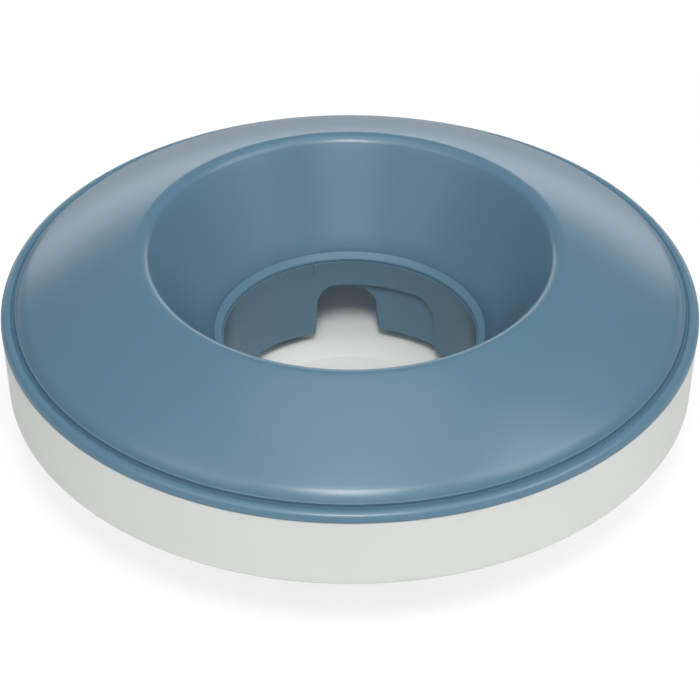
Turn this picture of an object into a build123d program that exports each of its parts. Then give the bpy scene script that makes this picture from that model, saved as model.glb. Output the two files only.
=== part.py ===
"""Rocking slow feeder bowl: a dish with a rounded underside, a rubber foot ring, a funnel lid and a turning gate."""

import os
from math import asin, cos, degrees, hypot, radians, sin, sqrt

from build123d import *

# Sizes in millimetres. +Z is up, the floor is z = 0 and the bowl's axis is the Z axis.
# Azimuths are in degrees from the back (+Y), positive towards the right (+X).

# Base dish: outer wall, tray and rounded underside
bowl_r = 115.0
wall_draft = 1.4
wall_h = 25.4
dish_t = 2.4
rock_depth = 24.8
flat_r = 34.0
wall_foot_cut = 0.8
wall_top_cut = 0.35
tray_cut = 3.5

# Rubber foot ring, set in a groove under the flat
foot_margin = 2.5
foot_w = 7.5
foot_proud = 0.6
foot_seat = 1.2
foot_cut = 0.4
foot_fit = 0.1

# Lid, from the seam upwards and inwards: rim, ledge, shoulder, band, dome and crest
rim_overhang = 0.1
rim_h = 3.0
rim_cut = 1.3
rim_ease = 0.47
ledge_w = 2.4
shoulder_run = 0.8
shoulder_rise = 1.65
shoulder_cut = 0.95
shoulder_ease = 0.35
band_w = 6.8
band_rise = 0.65
dome_rise = 19.1
dome_bow_r = 170.0
crest_r = 67.8
crest_round = 4.5
crest_land = 4.0
lid_t = 2.2
plug_t = 1.8
plug_depth = 4.0
plug_cut = 0.5
lid_fit = 0.3

# Throat, from the gate's lip outwards and upwards: lip, step and crease at the foot of the funnel
lip_r = 42.4
lip_drop = 10.3
lip_t = 0.9
lip_cut = 0.25
lip_w = 2.6
lip_rise = 1.1
step_w = 0.6
step_rise = 1.7
skirt_set_back = 1.35
skirt_t = 2.0
skirt_draft = 0.4
floor_gap = 0.3

# Gate ring, held under the lip by its flange
gate_t = 1.4
gate_fit = 0.35
gate_floor_gap = 4.3
flange_h = 1.4
flange_w = 1.0
groove_fit = 0.3
rib_w = 1.1
rib_h = 3.6
rib_proud = 0.4
rib_azimuth = -16.3

# Windows: three in the skirt and three in the gate, their heights from the tray
window_count = 3
skirt_window_span = 56.6
skirt_window_azimuth = -15.4
skirt_window_h = 22.6
skirt_window_round = 7.4
gate_window_span = 60.0
gate_window_azimuth = 13.8
gate_window_h = 24.85
gate_window_round = 7.0
window_flare = 0.9

# Stop: a key in the lid's groove runs in a gap of the gate's flange
open_turn = 29.0
shut_turn = 31.0
key_azimuth = 180.0
key_span = 6.0
stop_margin = 0.6

# Radii and heights worked out from the sizes above
wall_r_low = bowl_r - wall_draft
rock_r = (wall_r_low**2 + rock_depth**2) / (2 * rock_depth)
z_flat = foot_proud
z_ball = z_flat + sqrt(rock_r**2 - flat_r**2)
z_edge = z_ball - rock_r + rock_depth
z_seam = z_edge + wall_h
z_tray = z_flat + dish_t
tray_r = rock_r - dish_t
tray_flat_r = sqrt(tray_r**2 - (z_ball - z_tray) ** 2)
bore_r_low = wall_r_low - dish_t
bore_r_top = bowl_r - dish_t
skirt_r_in = lip_r + skirt_set_back
skirt_r_out = skirt_r_in + skirt_t


def ball_z(r, ball_r):
    """Give the height of the underside's ball, of radius ball_r, at radius r from the axis."""
    return z_ball - sqrt(ball_r**2 - r**2)


def corner(profile, point):
    """Pick the profile's corner nearest to a point."""
    return profile.vertices().sort_by_distance((*point, 0))[0]


def soften(profile, point, cut, ease):
    """Cut a corner across, then both new corners once more, so that three flats ease the turn."""
    chamfer(corner(profile, point), length=cut)
    chamfer(profile.vertices().sort_by_distance((*point, 0))[:2], length=ease)


def shifted(start, end, distance):
    """Move the line from start to end to its left by a distance."""
    length = hypot(end[0] - start[0], end[1] - start[1])
    dr = (start[1] - end[1]) / length * distance
    dz = (end[0] - start[0]) / length * distance
    return (start[0] + dr, start[1] + dz), (end[0] + dr, end[1] + dz)


def along(line, r):
    """Give the point of a line at radius r."""
    (r0, z0), (r1, z1) = line
    return (r, z0 + (z1 - z0) * (r - r0) / (r1 - r0))


def window_planes(azimuth):
    """Give one upright plane for each window, with its normal pointing outwards."""
    planes = []
    for k in range(window_count):
        turn = radians(azimuth + k * 360 / window_count)
        planes.append(Plane(origin=(0, 0, 0), x_dir=(-cos(turn), sin(turn), 0), z_dir=(sin(turn), cos(turn), 0)))
    return planes


def radial_plane(azimuth):
    """Give the upright half plane at an azimuth: x runs outwards from the axis and y upwards."""
    turn = radians(azimuth)
    return Plane(origin=(0, 0, 0), x_dir=(sin(turn), cos(turn), 0), z_dir=(cos(turn), -sin(turn), 0))


def window_corners(radius, span, top):
    """Give a window's corners on its plane: a little wider downwards, and open at the foot."""
    half_width = radius * sin(radians(span / 2))
    return (
        (-half_width - window_flare, 0),
        (-half_width + window_flare, top),
        (half_width - window_flare, top),
        (half_width + window_flare, 0),
    )


os.makedirs("parts", exist_ok=True)

# Base dish: one revolved wall of near even thickness, with a groove for the foot ring. The tray's floor
# slopes down to its flat middle in three stages.
foot_r_out = flat_r - foot_margin
foot_r_in = foot_r_out - foot_w
mid_r = (flat_r + wall_r_low) / 2
slope_r = (skirt_r_out + bore_r_low) / 2
tray_slope = [(r, ball_z(r, tray_r)) for r in (bore_r_low, slope_r, skirt_r_out)]
with BuildPart() as base_dish:
    with BuildSketch(Plane.XZ) as dish_profile:
        with BuildLine():
            Line((0, z_flat), (flat_r, z_flat))
            ThreePointArc((flat_r, z_flat), (mid_r, ball_z(mid_r, rock_r)), (wall_r_low, z_edge))
            Polyline((wall_r_low, z_edge), (bowl_r, z_seam), (bore_r_top, z_seam), *tray_slope)
            Polyline(tray_slope[-1], (tray_flat_r, z_tray), (0, z_tray), (0, z_flat))
        make_face()
        chamfer(corner(dish_profile, (wall_r_low, z_edge)), length=wall_foot_cut)
        chamfer(corner(dish_profile, (bowl_r, z_seam)), length=wall_top_cut)
        chamfer(corner(dish_profile, tray_slope[0]), length=tray_cut)
    revolve(axis=Axis.Z)
    with BuildSketch(Plane.XY.offset(z_flat)):
        Circle(foot_r_out + foot_fit)
        Circle(foot_r_in - foot_fit, mode=Mode.SUBTRACT)
    extrude(amount=foot_seat, mode=Mode.SUBTRACT)

# Foot ring: fills the groove and stands a little proud of the flat
with BuildPart() as foot_ring:
    with BuildSketch(Plane.XZ) as foot_profile:
        with Locations(((foot_r_in + foot_r_out) / 2, (foot_seat + foot_proud) / 2)):
            Rectangle(foot_r_out - foot_r_in, foot_seat + foot_proud)
        chamfer(foot_profile.vertices().group_by(Axis.Y)[0], length=foot_cut)
    revolve(axis=Axis.Z)

# Lid: the outline runs over the rim, dome and crest, down the funnel to the lip and back under it
z_lip = z_seam - lip_drop
z_lip_low = z_lip - lip_t
z_shelf = z_lip_low - groove_fit - flange_h
groove_r = skirt_r_in - gate_fit + flange_w + groove_fit
z_skirt_low = ball_z(skirt_r_out, tray_r) + floor_gap
rim_r = bowl_r + rim_overhang
rim_top = (rim_r, z_seam + rim_h)
ledge = (rim_top[0] - ledge_w, rim_top[1])
shoulder = (ledge[0] - shoulder_run, ledge[1] + shoulder_rise)
band = (shoulder[0] - band_w, shoulder[1] + band_rise)
crest = (crest_r, band[1] + dome_rise)
step = (lip_r + lip_w, z_lip + lip_rise)
crease = (step[0] + step_w, step[1] + step_rise)
chord = hypot(band[0] - crest[0], band[1] - crest[1])
bow = dome_bow_r - sqrt(dome_bow_r**2 - (chord / 2) ** 2)
bow_angle = degrees(asin(chord / 2 / dome_bow_r))
dome_tilt = degrees(asin((crest[1] - band[1]) / chord))
chord_mid = ((band[0] + crest[0]) / 2, (band[1] + crest[1]) / 2)


def dome_point(offset_angle, depth):
    """Give a point of the dome's arc, or below it, at an angle from its middle, positive towards the rim."""
    turn = radians(90 - dome_tilt - offset_angle)
    middle = radians(90 - dome_tilt)
    centre_r = chord_mid[0] - (dome_bow_r - bow) * cos(middle)
    centre_z = chord_mid[1] - (dome_bow_r - bow) * sin(middle)
    return (centre_r + (dome_bow_r - depth) * cos(turn), centre_z + (dome_bow_r - depth) * sin(turn))


funnel_back = shifted(crest, crease, lid_t)
under_crest = along(funnel_back, crest_r)
under_dome = dome_point(degrees(crest_land / dome_bow_r) - bow_angle, lid_t)
under_band = dome_point(bow_angle, lid_t)
funnel_foot = along(funnel_back, skirt_r_out)
plug_r = bore_r_top - lid_fit
plug_r_in = plug_r - plug_t
with BuildPart() as lid_shell:
    with BuildSketch(Plane.XZ) as lid_profile:
        with BuildLine():
            Polyline((plug_r, z_seam), (rim_r, z_seam), rim_top, ledge, shoulder, band)
            ThreePointArc(band, dome_point(0, 0), crest)
            Polyline(
                crest,
                crease,
                step,
                (lip_r, z_lip),
                (lip_r, z_lip_low),
                (groove_r, z_lip_low),
                (groove_r, z_shelf),
                (skirt_r_in, z_shelf),
                (skirt_r_in - skirt_draft, z_skirt_low),
                (skirt_r_out - skirt_draft, z_skirt_low),
                funnel_foot,
                under_crest,
            )
            Polyline(
                under_crest,
                under_dome,
                dome_point(0, lid_t),
                under_band,
                (plug_r_in, shoulder[1] - lid_t),
                (plug_r_in, z_seam - plug_depth),
                (plug_r, z_seam - plug_depth),
                (plug_r, z_seam),
            )
        make_face()
        soften(lid_profile, rim_top, rim_cut, rim_ease)
        soften(lid_profile, shoulder, shoulder_cut, shoulder_ease)
        fillet(corner(lid_profile, crest), radius=crest_round)
        chamfer(corner(lid_profile, (lip_r, z_lip)), length=lip_cut)
        chamfer(corner(lid_profile, (plug_r, z_seam - plug_depth)), length=plug_cut)
    revolve(axis=Axis.Z)
    with BuildSketch(*window_planes(skirt_window_azimuth)) as skirt_windows:
        with BuildLine():
            Polyline(*window_corners(skirt_r_in, skirt_window_span, z_tray + skirt_window_h), close=True)
        make_face()
        fillet(skirt_windows.vertices().group_by(Axis.Y)[-1], radius=skirt_window_round)
    extrude(amount=2 * skirt_r_out, mode=Mode.SUBTRACT)
    with BuildSketch(radial_plane(key_azimuth + key_span / 2)):
        with Locations((skirt_r_in, z_shelf)):
            Rectangle(skirt_t, z_lip_low - z_shelf, align=(Align.MIN, Align.MIN))
    revolve(axis=Axis.Z, revolution_arc=key_span)

# Gate ring: hangs by its flange in the lid's groove, just inside the skirt
gate_r_out = skirt_r_in - gate_fit
gate_r_in = gate_r_out - gate_t
flange_r = gate_r_out + flange_w
z_gate_low = ball_z(gate_r_out, tray_r) + gate_floor_gap
z_gate_top = z_shelf + flange_h
gap_middle = key_azimuth + (open_turn - shut_turn) / 2
gap_span = key_span + open_turn + shut_turn + 2 * stop_margin
with BuildPart() as gate_ring:
    with BuildSketch(Plane.XZ):
        with BuildLine():
            Polyline(
                (gate_r_in - skirt_draft, z_gate_low),
                (gate_r_out - skirt_draft, z_gate_low),
                (gate_r_out, z_shelf),
                (flange_r, z_shelf),
                (flange_r, z_gate_top),
                (gate_r_in, z_gate_top),
                close=True,
            )
        make_face()
    revolve(axis=Axis.Z)
    with BuildSketch(*window_planes(gate_window_azimuth)) as gate_windows:
        with BuildLine():
            Polyline(*window_corners(gate_r_in, gate_window_span, z_tray + gate_window_h), close=True)
        make_face()
        fillet(gate_windows.vertices().group_by(Axis.Y)[-1], radius=gate_window_round)
    extrude(amount=2 * gate_r_out, mode=Mode.SUBTRACT)
    with BuildSketch(radial_plane(gap_middle + gap_span / 2)):
        with Locations((gate_r_out, z_shelf)):
            Rectangle(2 * flange_w, flange_h, align=(Align.MIN, Align.MIN))
    revolve(axis=Axis.Z, revolution_arc=gap_span, mode=Mode.SUBTRACT)
    with BuildSketch(Plane.XY.offset(z_gate_top - rib_h)):
        with Locations(Rot(Z=-rib_azimuth) * Location((0, gate_r_in))):
            Rectangle(rib_w, 2 * rib_proud)
    extrude(amount=rib_h)

base_dish.part.label = "base_dish"
foot_ring.part.label = "foot_ring"
lid_shell.part.label = "lid_shell"
gate_ring.part.label = "gate_ring"
export_step(base_dish.part, "parts/base_dish.step")
export_step(foot_ring.part, "parts/foot_ring.step")
export_step(lid_shell.part, "parts/lid_shell.step")
export_step(gate_ring.part, "parts/gate_ring.step")
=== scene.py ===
"""Looks of a rocking slow feeder bowl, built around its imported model.

Lengths are in metres. The sub-assemblies give their own sizes in millimetres.
"""

from __future__ import annotations

import logging
import math
from dataclasses import dataclass, field
from enum import Enum
from typing import Any

import bmesh
import bpy
from mathutils import Euler, Matrix, Vector


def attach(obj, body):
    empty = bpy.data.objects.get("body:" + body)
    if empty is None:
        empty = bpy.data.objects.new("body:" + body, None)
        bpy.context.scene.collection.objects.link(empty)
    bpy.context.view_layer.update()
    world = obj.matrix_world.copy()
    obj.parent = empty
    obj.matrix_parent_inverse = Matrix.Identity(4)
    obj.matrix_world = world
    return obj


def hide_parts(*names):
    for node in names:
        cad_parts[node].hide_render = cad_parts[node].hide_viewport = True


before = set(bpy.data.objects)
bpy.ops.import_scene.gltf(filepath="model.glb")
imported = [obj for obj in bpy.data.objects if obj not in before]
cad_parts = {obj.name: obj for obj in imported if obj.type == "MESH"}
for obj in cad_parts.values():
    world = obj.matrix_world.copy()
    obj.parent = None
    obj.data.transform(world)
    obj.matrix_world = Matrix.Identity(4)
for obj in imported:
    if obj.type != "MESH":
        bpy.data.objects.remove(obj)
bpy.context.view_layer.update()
MM = 0.001
SHARP_ANGLE = math.radians(28.0)
log = logging.getLogger("slow_feeder_bowl")


def linear(colour: tuple[int, int, int]) -> tuple[float, float, float, float]:
    """Turn a screen colour into the values that a shader takes.

    Args:
        colour: Red, green and blue, each from 0 to 255.

    Returns:
        Linear red, green and blue with an alpha of 1.
    """
    parts = [c / 255 for c in colour]
    red, green, blue = (c / 12.92 if c <= 0.04045 else ((c + 0.055) / 1.055) ** 2.4 for c in parts)
    return red, green, blue, 1.0


class Wire:
    """A shader value. An expression on wires and numbers adds its own Math nodes."""

    def __init__(self, sheet: NodeSheet, socket: bpy.types.NodeSocket | None) -> None:
        """Keep the sheet that the socket is on.

        Args:
            sheet: The node sheet that new nodes go on.
            socket: The output that this wire carries, if its node has one.
        """
        self.sheet = sheet
        self.socket = socket

    def _math(self, operation: str, first: Wire | float, second: Wire | float) -> Wire:
        """Add one Math node and return its value."""
        return self.sheet.add("ShaderNodeMath", {"operation": operation}, {0: first, 1: second})

    def __add__(self, other: Wire | float) -> Wire:
        """Add."""
        return self._math("ADD", self, other)

    def __mul__(self, other: Wire | float) -> Wire:
        """Multiply."""
        return self._math("MULTIPLY", self, other)

    def __sub__(self, other: Wire | float) -> Wire:
        """Subtract."""
        return self._math("SUBTRACT", self, other)

    def __rsub__(self, other: Wire | float) -> Wire:
        """Subtract this from a number."""
        return self._math("SUBTRACT", other, self)

    def __truediv__(self, other: Wire | float) -> Wire:
        """Divide."""
        return self._math("DIVIDE", self, other)

    def __lt__(self, other: Wire | float) -> Wire:
        """Give 1 where this is less."""
        return self._math("LESS_THAN", self, other)

    def __gt__(self, other: Wire | float) -> Wire:
        """Give 1 where this is more."""
        return self._math("GREATER_THAN", self, other)

    __radd__ = __add__
    __rmul__ = __mul__

    def band(self, low: float, high: float) -> Wire:
        """Rise smoothly from 0 at low to 1 at high.

        Args:
            low: The value that gives 0.
            high: The value that gives 1.

        Returns:
            A value from 0 to 1.
        """
        settings = {"interpolation_type": "SMOOTHSTEP"}
        return self.sheet.add(
            "ShaderNodeMapRange", settings, {"Value": self, "From Min": low, "From Max": high}
        )


class NodeSheet:
    """A node tree that is filled one node at a time, of a material, a world or a geometry modifier."""

    def __init__(self, tree: bpy.types.NodeTree) -> None:
        """Start on an empty tree.

        Args:
            tree: The tree to fill.
        """
        self.tree = tree
        self.tree.nodes.clear()

    def add(
        self, kind: str, settings: dict[str, Any] | None = None, inputs: dict[Any, Any] | None = None
    ) -> Wire:
        """Add a node, set it up and join its inputs.

        Args:
            kind: The node's type.
            settings: Its properties, set before its sockets.
            inputs: Values, wires or lists of wires by socket name or number.

        Returns:
            The node's first output that is in use.
        """
        node = self.tree.nodes.new(kind)
        for name, value in (settings or {}).items():
            setattr(node, name, value)
        for name, value in (inputs or {}).items():
            self._join(node, name, value)
        outputs = [socket for socket in node.outputs if socket.enabled]
        return Wire(self, outputs[0] if outputs else None)

    def out(self, wire: Wire, name: str) -> Wire:
        """Give another output of the node that a wire comes from."""
        return Wire(self, wire.socket.node.outputs[name])

    def _join(self, node: bpy.types.Node, name: str | int, value: Any) -> None:
        """Set or link one input.

        Args:
            node: The node that has the input.
            name: The input's name or number.
            value: A plain value, a wire or a list of wires.
        """
        if isinstance(name, int):
            socket = node.inputs[name]
        else:
            socket = next(s for s in node.inputs if s.name == name and s.enabled)
        for item in value if isinstance(value, list) else [value]:
            if isinstance(item, Wire):
                self.tree.links.new(item.socket, socket)
            else:
                socket.default_value = item


class Gloss(Enum):
    """How finely a moulding's surface is finished, as the roughness of its shader."""

    SATIN = 0.3
    SOFT = 0.5
    RUBBER = 0.75


@dataclass(frozen=True)
class MouldedPlastic:
    """A satin injection moulding: faint mottle, fine grain, specks and hairline scratches.

    Args:
        name: The material's name.
        colour: Screen colour of the plain plastic.
        gloss: How finely the surface is finished.
        mottle: How much the colour drifts over the surface.
        glow: How much of the light on one side of a thin wall comes out at the other.
        speck: How strongly specks stand out.
        scratch: How strongly hairline scratches stand out.
        grain_depth: Depth of the surface grain.
    """

    name: str
    colour: tuple[int, int, int]
    gloss: Gloss = Gloss.SATIN
    mottle: float = 0.03
    glow: float = 0.0
    speck: float = 0.5
    scratch: float = 0.2
    grain_depth: float = 0.012 * MM

    MOTTLE_SIZE = 45 * MM
    GRAIN_SIZE = 0.35 * MM
    SPECK_GRID = 6.5 * MM
    SPECK_SIZE = 0.035
    SPECK_CHOICE = 0.62
    SPECK_SHADE = 0.35
    SPECK_HEIGHT = 1.5
    SCRATCH_SIZE = 7 * MM
    SCRATCH_TURN = (0.3, 0.2, 0.9)
    SCRATCH_STRETCH = (1.0, 9.0, 1.0)
    SCRATCH_WIDTH = 0.004
    PATCH_FINER = 1.7
    PATCH_EDGE = (0.6, 0.7)
    PALE_SHARE = 0.5
    ROUGH_GRAIN = 0.06
    ROUGH_MOTTLE = 0.08
    ROUGH_SCRATCH = 0.2
    BUMP_STRENGTH = 0.35
    IOR = 1.49
    SPECULAR = 0.75

    def build(self) -> bpy.types.Material:
        """Make the material.

        Returns:
            The new material.
        """
        material = bpy.data.materials.new(self.name)
        material.use_nodes = True
        sheet = NodeSheet(material.node_tree)
        spot = sheet.out(sheet.add("ShaderNodeTexCoord"), "Object")
        mottle = self._noise(sheet, spot, 1 / self.MOTTLE_SIZE, 3.0)
        grain = self._noise(sheet, spot, 1 / self.GRAIN_SIZE, 2.0)
        specks = self._specks(sheet, spot) * self.speck
        scratches = self._scratches(sheet, spot) * self.scratch
        tone = (mottle - 0.5) * (2 * self.mottle) + 1.0 - specks * self.SPECK_SHADE
        plain = linear(self.colour)
        shaded = sheet.add(
            "ShaderNodeVectorMath", {"operation": "SCALE"}, {"Vector": plain[:3], "Scale": tone}
        )
        pale = tuple(self.PALE_SHARE * c + (1 - self.PALE_SHARE) for c in plain[:3]) + (1.0,)
        colour = sheet.add(
            "ShaderNodeMix",
            {"data_type": "RGBA", "clamp_factor": True},
            {"Factor": scratches, "A": shaded, "B": pale},
        )
        drift = (grain - 0.5) * self.ROUGH_GRAIN + (mottle - 0.5) * self.ROUGH_MOTTLE
        height = grain + specks * self.SPECK_HEIGHT
        bump = sheet.add(
            "ShaderNodeBump",
            {},
            {"Strength": self.BUMP_STRENGTH, "Distance": self.grain_depth, "Height": height},
        )
        surface = sheet.add(
            "ShaderNodeBsdfPrincipled",
            {},
            {
                "Base Color": colour,
                "Roughness": drift + (self.gloss.value + scratches * self.ROUGH_SCRATCH),
                "IOR": self.IOR,
                "Specular IOR Level": self.SPECULAR,
                "Normal": bump,
            },
        )
        if self.glow:
            through = sheet.add("ShaderNodeBsdfTranslucent", {}, {"Color": shaded, "Normal": bump})
            surface = sheet.add("ShaderNodeMixShader", {}, {0: self.glow, 1: surface, 2: through})
        sheet.add("ShaderNodeOutputMaterial", {}, {"Surface": surface})
        return material

    @staticmethod
    def _noise(sheet: NodeSheet, spot: Wire, scale: float, detail: float) -> Wire:
        """Add a noise of a given scale."""
        return sheet.add("ShaderNodeTexNoise", {}, {"Vector": spot, "Scale": scale, "Detail": detail})

    def _specks(self, sheet: NodeSheet, spot: Wire) -> Wire:
        """Give small round specks, in some cells of a loose grid.

        Args:
            sheet: The material's node sheet.
            spot: The place on the surface.

        Returns:
            1 on a speck and 0 elsewhere.
        """
        cell = sheet.add(
            "ShaderNodeTexVoronoi",
            {"feature": "F1"},
            {"Vector": spot, "Scale": 1 / self.SPECK_GRID, "Randomness": 1.0},
        )
        chance = sheet.add("ShaderNodeSeparateColor", {}, {"Color": sheet.out(cell, "Color")})
        return (cell < self.SPECK_SIZE) * (chance > self.SPECK_CHOICE)

    def _scratches(self, sheet: NodeSheet, spot: Wire) -> Wire:
        """Give thin broken hairlines, mostly along one direction.

        Args:
            sheet: The material's node sheet.
            spot: The place on the surface.

        Returns:
            1 in the middle of a scratch and 0 away from it.
        """
        turned_spot = sheet.add(
            "ShaderNodeMapping",
            {},
            {"Vector": spot, "Rotation": self.SCRATCH_TURN, "Scale": self.SCRATCH_STRETCH},
        )
        wave = self._noise(sheet, turned_spot, 1 / self.SCRATCH_SIZE, 1.0)
        away = sheet.add("ShaderNodeMath", {"operation": "ABSOLUTE"}, {0: wave - 0.5})
        line = 1.0 - away.band(0.0, self.SCRATCH_WIDTH)
        patch = self._noise(sheet, spot, 1 / self.MOTTLE_SIZE * self.PATCH_FINER, 1.0)
        return line * patch.band(*self.PATCH_EDGE)


@dataclass(frozen=True)
class FootRubber:
    """Soft matt rubber with a fine dusty grain.

    Args:
        name: The material's name.
        colour: Screen colour of the rubber.
    """

    name: str
    colour: tuple[int, int, int]

    GRAIN_SIZE = 0.25 * MM
    GRAIN_DEPTH = 0.03 * MM
    DUST_SIZE = 8 * MM
    DUST_EDGE = (0.45, 0.75)
    DUST_SHARE = 0.4
    DUST_TINT = (0.7, 0.12)
    ROUGH_DUST = 0.1
    BUMP_STRENGTH = 0.5

    def build(self) -> bpy.types.Material:
        """Make the material.

        Returns:
            The new material.
        """
        material = bpy.data.materials.new(self.name)
        material.use_nodes = True
        sheet = NodeSheet(material.node_tree)
        spot = sheet.out(sheet.add("ShaderNodeTexCoord"), "Object")
        finer, coarser = 1 / self.GRAIN_SIZE, 1 / self.DUST_SIZE
        grain = sheet.add("ShaderNodeTexNoise", {}, {"Vector": spot, "Scale": finer, "Detail": 2.0})
        dust = sheet.add("ShaderNodeTexNoise", {}, {"Vector": spot, "Scale": coarser, "Detail": 4.0})
        plain = linear(self.colour)
        keep, lift = self.DUST_TINT
        dusty = tuple(keep * c + lift for c in plain[:3]) + (1.0,)
        colour = sheet.add(
            "ShaderNodeMix",
            {"data_type": "RGBA"},
            {"Factor": dust.band(*self.DUST_EDGE) * self.DUST_SHARE, "A": plain, "B": dusty},
        )
        bump = sheet.add(
            "ShaderNodeBump",
            {},
            {"Strength": self.BUMP_STRENGTH, "Distance": self.GRAIN_DEPTH, "Height": grain},
        )
        rough = dust * self.ROUGH_DUST + (Gloss.RUBBER.value - self.ROUGH_DUST / 2)
        surface = sheet.add(
            "ShaderNodeBsdfPrincipled", {}, {"Base Color": colour, "Roughness": rough, "Normal": bump}
        )
        sheet.add("ShaderNodeOutputMaterial", {}, {"Surface": surface})
        return material


def dress(node: str, material: bpy.types.Material) -> None:
    """Give a node of the model its material.

    Args:
        node: The node's name.
        material: The finish that covers it.
    """
    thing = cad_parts[node]
    if not thing.material_slots:
        thing.data.materials.append(material)
    for own in thing.material_slots:
        own.material = material
    log.info("dressed %s in %s", node, material.name)


class Merge(Enum):
    """What becomes of the copies that are set around an axis."""

    ADD = "they join the body"
    CUT = "they are cut out of the body"


@dataclass(frozen=True)
class AroundAxis:
    """A shape repeated at even steps about the upright axis, added to a body or cut out of it.

    Args:
        name: The node tree's name.
        merge: Whether the copies are added or cut out.
    """

    name: str
    merge: Merge

    def apply(
        self, body: bpy.types.Object, copy: bpy.types.Mesh, count: int, material: bpy.types.Material
    ) -> None:
        """Repeat a shape on a body and turn the result into the body's own plain mesh.

        Args:
            body: The body that gets the copies.
            copy: The shape, where its first copy stands.
            count: How many copies there are.
            material: The finish of the whole.
        """
        holder = bpy.data.objects.new(f"{self.name}_copy", copy)
        bpy.context.scene.collection.objects.link(holder)
        modifier = body.modifiers.new(self.name, "NODES")
        modifier.node_group = self._tree()
        values = {"Copy": holder, "Count": count, "Finish": material}
        for item in modifier.node_group.interface.items_tree:
            if item.in_out == "INPUT" and item.name in values:
                modifier[item.identifier] = values[item.name]
        depsgraph = bpy.context.evaluated_depsgraph_get()
        plain = bpy.data.meshes.new_from_object(body.evaluated_get(depsgraph))
        body.modifiers.remove(modifier)
        body.data = plain
        bpy.data.objects.remove(holder)

    def _tree(self) -> bpy.types.NodeTree:
        """Build the tree that sets the copies around and merges them.

        Returns:
            The new tree, with the inputs Body, Copy, Count and Finish.
        """
        tree = bpy.data.node_groups.new(self.name, "GeometryNodeTree")
        inputs = (("Body", "Geometry"), ("Copy", "Object"), ("Count", "Int"), ("Finish", "Material"))
        for name, kind in inputs:
            tree.interface.new_socket(name, in_out="INPUT", socket_type=f"NodeSocket{kind}")
        tree.interface.new_socket("Geometry", in_out="OUTPUT", socket_type="NodeSocketGeometry")
        sheet = NodeSheet(tree)
        body = sheet.add("NodeGroupInput")
        count = sheet.out(body, "Count")
        holder = sheet.add("GeometryNodeObjectInfo", {}, {"Object": sheet.out(body, "Copy")})
        shape = sheet.out(holder, "Geometry")
        points = sheet.add("GeometryNodePoints", {}, {"Count": count})
        turn = sheet.add("GeometryNodeInputIndex") / count * math.tau
        rotation = sheet.add("ShaderNodeCombineXYZ", {}, {"Z": turn})
        around = sheet.add(
            "GeometryNodeInstanceOnPoints", {}, {"Points": points, "Instance": shape, "Rotation": rotation}
        )
        copies = sheet.add("GeometryNodeRealizeInstances", {}, {"Geometry": around})
        if self.merge is Merge.ADD:
            whole = sheet.add("GeometryNodeJoinGeometry", {}, {"Geometry": [body, copies]})
        else:
            settings = {"operation": "DIFFERENCE", "solver": "EXACT"}
            whole = sheet.add("GeometryNodeMeshBoolean", settings, {"Mesh 1": body, "Mesh 2": copies})
        real = sheet.add("GeometryNodeRealizeInstances", {}, {"Geometry": whole})
        dressed = sheet.add(
            "GeometryNodeSetMaterial", {}, {"Geometry": real, "Material": sheet.out(body, "Finish")}
        )
        sheet.add("NodeGroupOutput", {}, {"Geometry": dressed})
        return tree


def solid(
    name: str, points: list[tuple[float, float, float]], faces: list[tuple[int, ...]]
) -> bpy.types.Mesh:
    """Make a closed mesh whose faces point outwards.

    Args:
        name: The mesh's name.
        points: Its corners in millimetres.
        faces: The corner numbers of each face.

    Returns:
        The new mesh, in metres.
    """
    mesh = bpy.data.meshes.new(name)
    mesh.from_pydata([(x * MM, y * MM, z * MM) for x, y, z in points], [], faces)
    work = bmesh.new()
    work.from_mesh(mesh)
    bmesh.ops.recalc_face_normals(work, faces=work.faces)
    work.to_mesh(mesh)
    work.free()
    return mesh


def turned(
    name: str, outline: list[tuple[float, float]], steps: int, start: float = 0.0, span: float = 360.0
) -> bpy.types.Mesh:
    """Turn a closed outline about the upright axis.

    Args:
        name: The mesh's name.
        outline: Radius and height of each corner, in millimetres.
        steps: How many steps the turn has.
        start: Where the turn starts, in degrees clockwise from the far side.
        span: How far it goes, in degrees.

    Returns:
        The turned solid.
    """
    size = len(outline)
    rings = steps if span >= 360 else steps + 1
    turns = [math.radians(start + span * k / steps) for k in range(rings)]
    points = [(r * math.sin(turn), r * math.cos(turn), z) for turn in turns for r, z in outline]
    faces = []
    for k in range(steps):
        here, after = k * size, (k + 1) % rings * size
        faces += [(here + i, here + (i + 1) % size, after + (i + 1) % size, after + i) for i in range(size)]
    if span < 360:
        faces += [tuple(range(size)), tuple(range((rings - 1) * size, rings * size))]
    return solid(name, points, faces)


def arc(
    centre: tuple[float, float], radius: float, start: float, end: float, steps: int
) -> list[tuple[float, float]]:
    """Give points along an arc in the plane of radius and height.

    Args:
        centre: Its centre.
        radius: Its radius.
        start: The direction of its first point from the centre, in degrees from outwards, positive upwards.
        end: The direction of its last point.
        steps: How many steps it has.

    Returns:
        The points with both ends.
    """
    turns = [math.radians(start + (end - start) * k / steps) for k in range(steps + 1)]
    return [(centre[0] + radius * math.cos(turn), centre[1] + radius * math.sin(turn)) for turn in turns]


def place(name: str, data: bpy.types.ID) -> bpy.types.Object:
    """Put a mesh, a lamp or a camera in the scene as an object at the origin.

    Args:
        name: The object's name.
        data: Its mesh, lamp or camera.

    Returns:
        The new object.
    """
    thing = bpy.data.objects.new(name, data)
    bpy.context.scene.collection.objects.link(thing)
    return thing


def hand_over(piece: bpy.types.Object, body: str, node: str) -> None:
    """Shade a finished piece and let it ride in the place of a node.

    Args:
        piece: The finished piece.
        body: The body that it moves with.
        node: The node that it stands for.
    """
    piece.data.shade_smooth()
    piece.data.set_sharp_from_angle(angle=SHARP_ANGLE)
    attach(piece, body)
    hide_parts(node)
    log.info("%s stands for %s: %d faces", piece.name, node, len(piece.data.polygons))


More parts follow.
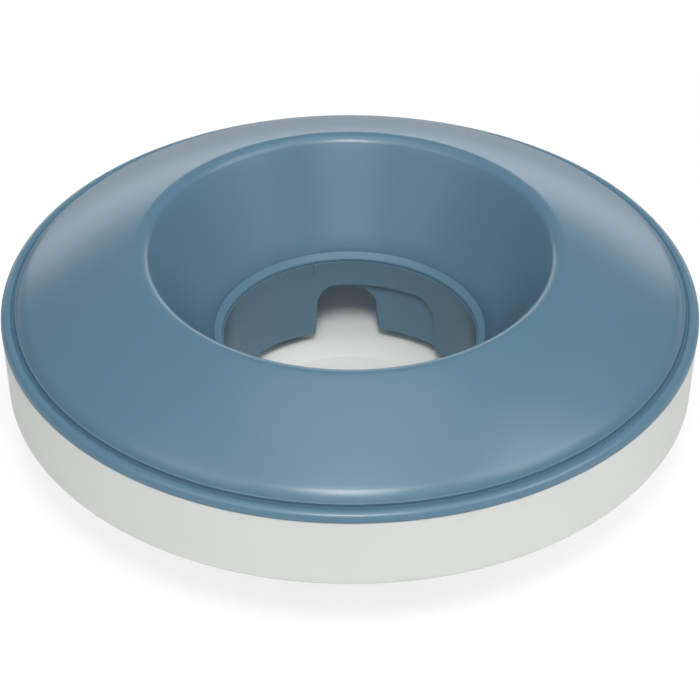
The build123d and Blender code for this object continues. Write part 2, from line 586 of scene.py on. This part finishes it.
@dataclass
class Dish:
    """The pale dish: wall, tray and rounded underside, with the rubber ring it stands on.

    Args:
        ring_r_in: Inner radius of the rubber ring.
        ring_r_out: Outer radius of the ring.
        ring_h: Height of the ring's top.
        ring_cut: Size of the cut along the ring's lower edges.
        ring_steps: How many steps the ring's turn has.
        tread_count: How many radial treads there are.
        tread_w: Width of a tread at its root.
        tread_h: How far a tread stands below the ring.
        tread_sink: How deep a tread's root lies in the ring.
        plastic: Finish of the dish.
        rubber: Finish of the ring.
    """

    ring_r_in: float = 24.0
    ring_r_out: float = 31.5
    ring_h: float = 1.8
    ring_cut: float = 0.4
    ring_steps: int = 120
    tread_count: int = 90
    tread_w: float = 1.0
    tread_h: float = 0.35
    tread_sink: float = 0.1
    plastic: MouldedPlastic = MouldedPlastic(
        "dish_plastic", (222, 224, 220), Gloss.SOFT, mottle=0.012, glow=0.2, speck=0.25, scratch=0.0
    )
    rubber: FootRubber = FootRubber("foot_rubber", (92, 96, 99))

    def build(self) -> None:
        """Dress the dish and build its foot ring."""
        dress("base_dish", self.plastic.build())
        ring = place("treaded_foot_ring", turned("treaded_foot_ring", self._ring_outline(), self.ring_steps))
        treads = AroundAxis("foot_treads", Merge.ADD)
        treads.apply(ring, self._tread(), self.tread_count, self.rubber.build())
        hand_over(ring, "dish", "foot_ring")

    def _ring_outline(self) -> list[tuple[float, float]]:
        """Give the ring's outline above its treads.

        Returns:
            Radius and height of each corner.
        """
        low, cut = self.tread_h, self.ring_cut
        return [
            (self.ring_r_in, self.ring_h),
            (self.ring_r_in, low + cut),
            (self.ring_r_in + cut, low),
            (self.ring_r_out - cut, low),
            (self.ring_r_out, low + cut),
            (self.ring_r_out, self.ring_h),
        ]

    def _tread(self) -> bpy.types.Mesh:
        """Make one radial tread, narrower at its foot and sunk a little into the ring.

        Returns:
            The tread's mesh.
        """
        wide, narrow = self.tread_w / 2, self.tread_w / 3
        inner, outer = self.ring_r_in + self.ring_cut, self.ring_r_out - self.ring_cut
        low_inner, low_outer = inner + self.ring_cut, outer - self.ring_cut
        top = self.tread_h + self.tread_sink
        root = ((-wide, inner), (wide, inner), (wide, outer), (-wide, outer))
        foot = ((-narrow, low_inner), (narrow, low_inner), (narrow, low_outer), (-narrow, low_outer))
        points = [(x, y, top) for x, y in root] + [(x, y, 0.0) for x, y in foot]
        sides = [(i, (i + 1) % 4, (i + 1) % 4 + 4, i + 4) for i in range(4)]
        return solid("tread", points, [(0, 1, 2, 3), (4, 5, 6, 7), *sides])


@dataclass
class Lid:
    """The blue lid in one moulding: rim, ledge, edge roll, dome, crest, funnel, lip and windowed skirt.

    Sizes are in millimetres, angles in degrees, and heights are from the ground. A pair is a radius and a
    height, unless its comment says otherwise.
    """

    # rim, and the ledge between the rim and the roll
    seam_z: float = 48.67
    rim_r: float = 115.1
    rim_h: float = 3.0
    rim_round: float = 2.2
    rim_lean: float = 115.0
    rim_steps: int = 14
    valley: tuple[float, float] = (111.4, 50.72)
    # roll: the pair of slopes is the one at its top and the one at its foot
    roll_start: tuple[float, float] = (107.1, 55.55)
    roll_round: float = 11.0
    roll_slopes: tuple[float, float] = (36.0, 69.0)
    roll_steps: int = 12
    # dome, crest and funnel
    dome_bow: float = 170.0
    dome_steps: int = 24
    crest_centre: tuple[float, float] = (69.515, 67.62)
    crest_round: float = 4.5
    crest_steps: int = 16
    funnel_slope: float = 55.17
    funnel_steps: int = 8
    crease: tuple[float, float] = (45.6, 41.17)
    # step, lip and the groove that carries the gate
    step: tuple[float, float] = (45.0, 39.47)
    lip: tuple[float, float] = (42.4, 38.37)
    lip_t: float = 0.9
    lip_cut: float = 0.25
    lip_fall: float = 0.42
    groove_r: float = 44.7
    shelf_z: float = 35.77
    # skirt
    skirt_r: float = 43.75
    skirt_t: float = 2.0
    skirt_low: tuple[float, float] = (43.35, 8.9)
    # underside and plug
    wall: float = 2.2
    under_crest_end: float = 74.0
    under_crest_steps: int = 6
    under_bow: float = 0.1
    under_tilt: float = 30.0
    plug_r: float = 112.3
    plug_t: float = 1.8
    plug_top: float = 52.4
    plug_depth: float = 4.0
    plug_cut: float = 0.5
    # windows: the reach is how near and how far from the axis their cutter stands
    window_count: int = 3
    window_azimuth: float = -15.4
    window_span: float = 56.6
    window_top: float = 25.6
    window_round: float = 7.4
    window_flare: float = 0.9
    window_steps: int = 10
    window_reach: tuple[float, float] = (1.0, 90.0)
    # key that stops the gate
    key_azimuth: float = 177.0
    key_span: float = 6.0
    key_sink: float = 0.2
    key_steps: int = 6
    steps: int = 288
    plastic: MouldedPlastic = MouldedPlastic("lid_plastic", (110, 147, 168), Gloss.SATIN, glow=0.45)

    def build(self) -> None:
        """Build and dress the lid."""
        outline = self._edge() + self._dome() + self._throat() + self._underside()
        lid = place("turned_lid", turned("turned_lid", outline, self.steps))
        finish = self.plastic.build()
        AroundAxis("skirt_windows", Merge.CUT).apply(lid, self._window(), self.window_count, finish)
        AroundAxis("stop_key", Merge.ADD).apply(lid, self._key(), 1, finish)
        hand_over(lid, "lid", "lid_shell")

    def _edge(self) -> list[tuple[float, float]]:
        """Give the outline from the seam over the rim and the ledge up the roll to the dome.

        Returns:
            Radius and height of each corner.
        """
        rim_centre = (self.rim_r - self.rim_round, self.seam_z + self.rim_h - self.rim_round)
        rim = arc(rim_centre, self.rim_round, 0, self.rim_lean, self.rim_steps)
        (r, z), (first, last) = self.roll_start, self.roll_slopes
        lean = math.radians(first)
        roll_centre = (r - self.roll_round * math.sin(lean), z - self.roll_round * math.cos(lean))
        roll = arc(roll_centre, self.roll_round, 90 - last, 90 - first, self.roll_steps)
        return [(self.plug_r, self.seam_z), (self.rim_r, self.seam_z), *rim, self.valley, *roll[:-1]]

    def _dome(self) -> list[tuple[float, float]]:
        """Give the bowed dome, the round crest and the funnel down to its foot.

        Returns:
            Radius and height of each corner.
        """
        (r, z), (crest_r, crest_z) = self.roll_start, self.crest_centre
        reach = self.dome_bow - self.crest_round
        apart = math.hypot(crest_r - r, crest_z - z)
        near = (self.dome_bow**2 - reach**2 + apart**2) / (2 * apart)
        off = math.sqrt(self.dome_bow**2 - near**2)
        along = ((crest_r - r) / apart, (crest_z - z) / apart)
        centre = (r + near * along[0] - off * along[1], z + near * along[1] + off * along[0])
        low = math.degrees(math.atan2(z - centre[1], r - centre[0]))
        high = math.degrees(math.atan2(crest_z - centre[1], crest_r - centre[0]))
        dome = arc(centre, self.dome_bow, low, high, self.dome_steps)
        crest = arc(self.crest_centre, self.crest_round, high, 90 + self.funnel_slope, self.crest_steps)
        (top_r, top_z), (foot_r, foot_z), count = crest[-1], self.crease, self.funnel_steps
        funnel = [
            (top_r + (foot_r - top_r) * k / count, top_z + (foot_z - top_z) * k / count)
            for k in range(1, count + 1)
        ]
        return dome + crest[1:] + funnel

    def _throat(self) -> list[tuple[float, float]]:
        """Give the step, the lip, the gate's groove and the skirt.

        Returns:
            Radius and height of each corner.
        """
        (lip_r, lip_z), (low_r, low_z) = self.lip, self.skirt_low
        cut, under = self.lip_cut, self.lip[1] - self.lip_t
        return [
            self.step,
            (lip_r + cut, lip_z + cut * self.lip_fall),
            (lip_r, lip_z - cut),
            (lip_r, under),
            (self.groove_r, under),
            (self.groove_r, self.shelf_z),
            (self.skirt_r, self.shelf_z),
            (low_r, low_z),
            (low_r + self.skirt_t, low_z),
        ]

    def _underside(self) -> list[tuple[float, float]]:
        """Give the back of the funnel, the crest and the dome, and the plug that fits into the dish.

        Returns:
            Radius and height of each corner.
        """
        slope, tilt = math.radians(self.funnel_slope), math.radians(self.under_tilt)
        foot = (self.crease[0] + math.sin(slope) * self.wall, self.crease[1] - math.cos(slope) * self.wall)
        crest = arc(
            self.crest_centre,
            self.crest_round - self.wall,
            90 + self.funnel_slope,
            self.under_crest_end,
            self.under_crest_steps,
        )
        r, z = self.roll_start
        skirt_out, plug_in = self.skirt_r + self.skirt_t, self.plug_r - self.plug_t
        plug_low = self.seam_z - self.plug_depth
        return [
            (skirt_out, foot[1] + (skirt_out - foot[0]) * math.tan(slope)),
            *crest,
            ((crest[-1][0] + r) / 2, (crest[-1][1] + z) / 2 + self.under_bow),
            (r - self.wall * math.sin(tilt), z - self.wall * math.cos(tilt)),
            (plug_in, self.plug_top),
            (plug_in, plug_low),
            (self.plug_r - self.plug_cut, plug_low),
            (self.plug_r, plug_low + self.plug_cut),
        ]

    def _window(self) -> bpy.types.Mesh:
        """Make the first window's cutter: round at its upper corners, flared and open at its foot.

        Returns:
            The cutter's mesh.
        """
        half = self.skirt_r * math.sin(math.radians(self.window_span / 2))
        lean = math.degrees(math.atan2(2 * self.window_flare, self.window_top))
        low, high = half + self.window_flare, half - self.window_flare
        back = self.window_round * math.tan(math.radians((90 - lean) / 2))
        centre = (high - back, self.window_top - self.window_round)
        side = [(low, 0.0), *arc(centre, self.window_round, lean, 90, self.window_steps)]
        shape = side + [(-x, z) for x, z in side[::-1]]
        turn = math.radians(self.window_azimuth)
        ahead, across = (math.sin(turn), math.cos(turn)), (math.cos(turn), -math.sin(turn))
        points = [
            (across[0] * x + ahead[0] * y, across[1] * x + ahead[1] * y, z)
            for y in self.window_reach
            for x, z in shape
        ]
        size = len(shape)
        sides = [(i, (i + 1) % size, (i + 1) % size + size, i + size) for i in range(size)]
        return solid("window", points, [tuple(range(size)), tuple(range(size, 2 * size)), *sides])

    def _key(self) -> bpy.types.Mesh:
        """Make the key that stops the gate in its groove.

        Returns:
            The key's mesh.
        """
        inner, outer = self.skirt_r, self.skirt_r + self.skirt_t
        low, high = self.shelf_z - self.key_sink, self.lip[1] - self.lip_t + self.key_sink
        outline = [(inner, low), (outer, low), (outer, high), (inner, high)]
        return turned("key", outline, self.key_steps, self.key_azimuth, self.key_span)


@dataclass
class Gate:
    """The blue gate ring with its three windows, hung inside the lid's skirt.

    Args:
        plastic: Finish of the ring.
    """

    plastic: MouldedPlastic = MouldedPlastic(
        "gate_plastic", (104, 139, 158), Gloss.SATIN, glow=0.4, scratch=0.1
    )

    def build(self) -> None:
        """Dress the gate ring."""
        dress("gate_ring", self.plastic.build())


@dataclass(frozen=True)
class Softbox:
    """A large rectangular lamp that looks at the bowl.

    Args:
        name: The lamp's name.
        azimuth: Where it stands, in degrees from the viewer's side, positive to the right.
        elevation: Its height above the horizon, in degrees.
        power: Its power in watts.
        size: Width and height.
        distance: How far it is from the bowl.
    """

    name: str
    azimuth: float
    elevation: float
    power: float
    size: tuple[float, float] = (1.2, 1.2)
    distance: float = 2.2

    def build(self, target: Vector) -> None:
        """Place the lamp.

        Args:
            target: The point that it faces.
        """
        lamp = bpy.data.lights.new(self.name, "AREA")
        lamp.shape = "RECTANGLE"
        lamp.size, lamp.size_y = self.size
        lamp.energy = self.power
        turn, lift = math.radians(self.azimuth), math.radians(self.elevation)
        away = Vector((math.sin(turn) * math.cos(lift), -math.cos(turn) * math.cos(lift), math.sin(lift)))
        holder = place(self.name, lamp)
        holder.location = target + away * self.distance
        holder.rotation_euler = away.to_track_quat("Z", "Y").to_euler()


@dataclass
class Studio:
    """Floor, soft lamps, pale surroundings and the camera.

    Args:
        aim_z: Height of the point on the axis that the camera's distance and height refer to.
        distance: How far the camera is from that point.
        elevation: The camera's height above the horizon, in degrees.
        lens: Its focal length in millimetres.
        middle_px: Where the view's true middle lies in the frame, in pixels.
        roll: Its turn about the line of sight, in radians.
        lamp_z: Height of the point that the lamps face.
        floor_size: Side of the floor.
        floor_colour: Screen colour of the floor.
        floor_glow: Share of white that the floor shows in place of its own shade.
        white: Strength at which the background is white.
        sky: Strength of the light from all around.
        lamps: The lamps.
    """

    aim_z: float = 23.27 * MM
    distance: float = 1143.8 * MM
    elevation: float = 36.226
    lens: float = 175.51
    middle_px: tuple[float, float] = (349.84, 367.05)
    roll: float = 0.0028
    lamp_z: float = 30 * MM
    floor_size: float = 8.0
    floor_colour: tuple[int, int, int] = (243, 244, 244)
    floor_glow: float = 0.8
    white: float = 1.0
    sky: float = 0.04
    lamps: list[Softbox] = field(
        default_factory=lambda: [
            Softbox("front_lamp", 0.0, 60.0, 32.0, (0.6, 0.6)),
            Softbox("left_lamp", -60.0, 50.0, 9.5),
            Softbox("right_lamp", 75.0, 50.0, 20.0),
            Softbox("top_lamp", 180.0, 88.0, 10.0),
            Softbox("fill_lamp", 0.0, 34.0, 5.0, (1.6, 0.9)),
            Softbox("rim_lamp", 180.0, 8.0, 20.0, (3.0, 0.6)),
        ]
    )

    FRAME_PX = 700
    SENSOR = 36.0
    FLOOR_RAYS = ("Is Camera Ray", "Is Glossy Ray", "Is Transmission Ray")
    SKY_RAYS = ("Is Camera Ray", "Is Transmission Ray")

    def build(self) -> None:
        """Set up everything around the bowl."""
        self._floor()
        self._world()
        for lamp in self.lamps:
            lamp.build(Vector((0.0, 0.0, self.lamp_z)))
        self._camera()
        bpy.context.scene.view_settings.view_transform = "Standard"

    def _floor(self) -> None:
        """Lay the pale floor."""
        half = self.floor_size / 2
        corners = [(-half, -half, 0), (half, -half, 0), (half, half, 0), (-half, half, 0)]
        mesh = bpy.data.meshes.new("floor")
        mesh.from_pydata(corners, [], [(0, 1, 2, 3)])
        floor = place("floor", mesh)
        material = bpy.data.materials.new("floor_paper")
        material.use_nodes = True
        sheet = NodeSheet(material.node_tree)
        paper = sheet.add("ShaderNodeBsdfDiffuse", {}, {"Color": linear(self.floor_colour)})
        glow = sheet.add("ShaderNodeEmission", {}, {"Color": (1, 1, 1, 1), "Strength": self.white})
        seen = self._seen(sheet, self.FLOOR_RAYS) * self.floor_glow
        mixed = sheet.add("ShaderNodeMixShader", {}, {0: seen, 1: paper, 2: glow})
        sheet.add("ShaderNodeOutputMaterial", {}, {"Surface": mixed})
        mesh.materials.append(material)

    @staticmethod
    def _seen(sheet: NodeSheet, kinds: tuple[str, ...]) -> Wire:
        """Tell the rays that see the white background from those that light the bowl.

        Args:
            sheet: The node sheet of the floor or the world.
            kinds: The kinds of ray that see it.

        Returns:
            1 for a ray of these kinds and 0 for any other.
        """
        path = sheet.add("ShaderNodeLightPath")
        first, *others = (sheet.out(path, kind) for kind in kinds)
        return sum(others, first) > 0.5

    def _world(self) -> None:
        """Surround the bowl with even light and show it as white."""
        world = bpy.data.worlds.new("studio")
        bpy.context.scene.world = world
        world.use_nodes = True
        sheet = NodeSheet(world.node_tree)
        strength = self._seen(sheet, self.SKY_RAYS) * (self.white - self.sky) + self.sky
        glow = sheet.add("ShaderNodeBackground", {}, {"Color": (1, 1, 1, 1), "Strength": strength})
        sheet.add("ShaderNodeOutputWorld", {}, {"Surface": glow})

    def _camera(self) -> None:
        """Stand the camera at the photograph's viewpoint."""
        data = bpy.data.cameras.new("camera")
        data.lens = self.lens
        data.sensor_width = self.SENSOR
        camera = place("camera", data)
        lift = math.radians(self.elevation)
        back = Vector((0.0, -math.cos(lift), math.sin(lift)))
        camera.location = Vector((0.0, 0.0, self.aim_z)) + back * self.distance
        focal_px = self.lens / self.SENSOR * self.FRAME_PX
        tilt = math.atan((self.middle_px[1] - self.FRAME_PX / 2) / focal_px)
        pan = math.atan((self.FRAME_PX / 2 - self.middle_px[0]) / focal_px)
        look = Euler((math.pi / 2 - lift + tilt, 0.0, 0.0)).to_matrix()
        turn = Matrix.Rotation(-pan, 3, "Z") @ look @ Matrix.Rotation(self.roll, 3, "Z")
        camera.rotation_euler = turn.to_euler()
        bpy.context.scene.camera = camera


def main() -> None:
    """Build every part of the scene in order."""
    logging.basicConfig(level=logging.INFO, format="%(name)s: %(message)s")
    for part in (Dish(), Lid(), Gate(), Studio()):
        part.build()
        log.info("%s is ready", type(part).__name__)


if __name__ == "__main__":
    main()
